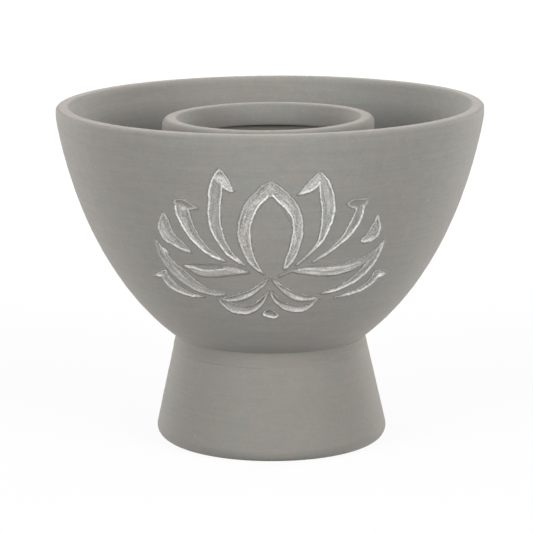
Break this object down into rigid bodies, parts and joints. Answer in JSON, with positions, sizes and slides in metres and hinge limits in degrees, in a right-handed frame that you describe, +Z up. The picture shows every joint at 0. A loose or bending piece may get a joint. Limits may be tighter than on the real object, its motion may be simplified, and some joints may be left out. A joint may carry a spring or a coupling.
{
  "type": "smudge bowl",
  "caption": "Hand-thrown matte grey clay smudge bowl on a hollow conical foot, with a raised collar inside and a lotus carved into its front, the grooves washed white.",
  "frame": {"origin": "centre of the foot's base ring, on the surface that the bowl stands on", "axes": "+Z up along the axis that the bowl was thrown on, -Y out of the carved front"},
  "size_m": [0.128, 0.128, 0.102],
  "materials": {
    "clay": "matte",
    "slip": "matte",
    "white_wash": "matte"
  },
  "bodies": {
    "root": {"bowl": "clay", "foot": "clay", "collar": "clay", "foot_slip": "slip", "collar_slip": "slip", "white_wash_centre": "white_wash", "white_wash_second_left": "white_wash", "white_wash_second_right": "white_wash", "white_wash_third_left": "white_wash", "white_wash_third_right": "white_wash", "white_wash_fourth_left": "white_wash", "white_wash_fourth_right": "white_wash", "white_wash_fifth_left": "white_wash", "white_wash_fifth_right": "white_wash", "white_wash_sixth_left": "white_wash", "white_wash_sixth_right": "white_wash", "white_wash_seventh_left": "white_wash", "white_wash_seventh_right": "white_wash", "white_wash_wing_left": "white_wash", "white_wash_wing_right": "white_wash", "white_wash_curl_left": "white_wash", "white_wash_curl_right": "white_wash", "white_wash_seed": "white_wash"}
  },
  "joints": []
}
